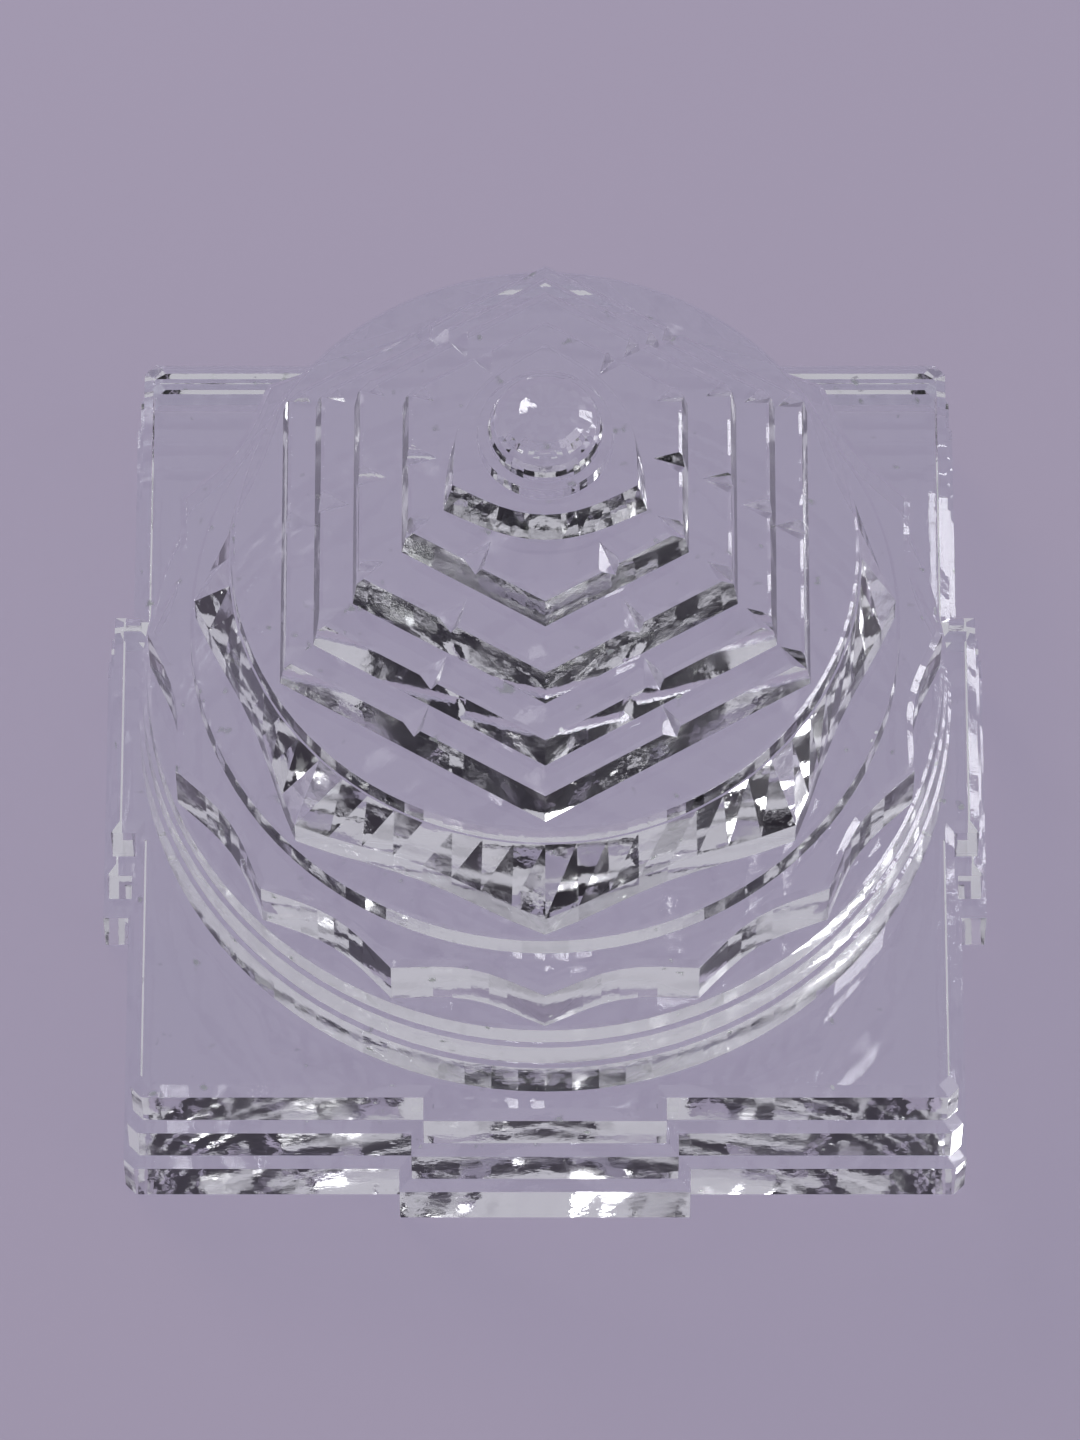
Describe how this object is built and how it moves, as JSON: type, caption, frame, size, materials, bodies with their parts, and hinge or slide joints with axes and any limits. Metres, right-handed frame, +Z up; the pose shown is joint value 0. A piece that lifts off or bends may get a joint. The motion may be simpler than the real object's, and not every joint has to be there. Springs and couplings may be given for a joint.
{
  "type": "shri yantra",
  "caption": "Clear crystal meru-form yantra: a gated square base, round steps, two lotus rings, a notched six-sided pyramid and a small dome.",
  "frame": {"origin": "middle of the flat underside", "axes": "+Z up through the bindu, -Y towards the front, X across the front"},
  "size_m": [0.0424, 0.0424, 0.0424],
  "materials": {
    "crystal": "clear, ground and polished"
  },
  "bodies": {
    "root": {"base_bottom_step": "crystal", "base_middle_step": "crystal", "base_top_step": "crystal", "outer_circle": "crystal", "middle_circle": "crystal", "inner_circle": "crystal", "sixteen_petal_lotus": "crystal", "lotus_collar": "crystal", "eight_petal_lotus": "crystal", "girdle_circle": "crystal", "terrace_first": "crystal", "terrace_second": "crystal", "terrace_third": "crystal", "terrace_fourth": "crystal", "summit_triangle": "crystal", "bindu_seat": "crystal", "bindu": "crystal"}
  },
  "joints": []
}
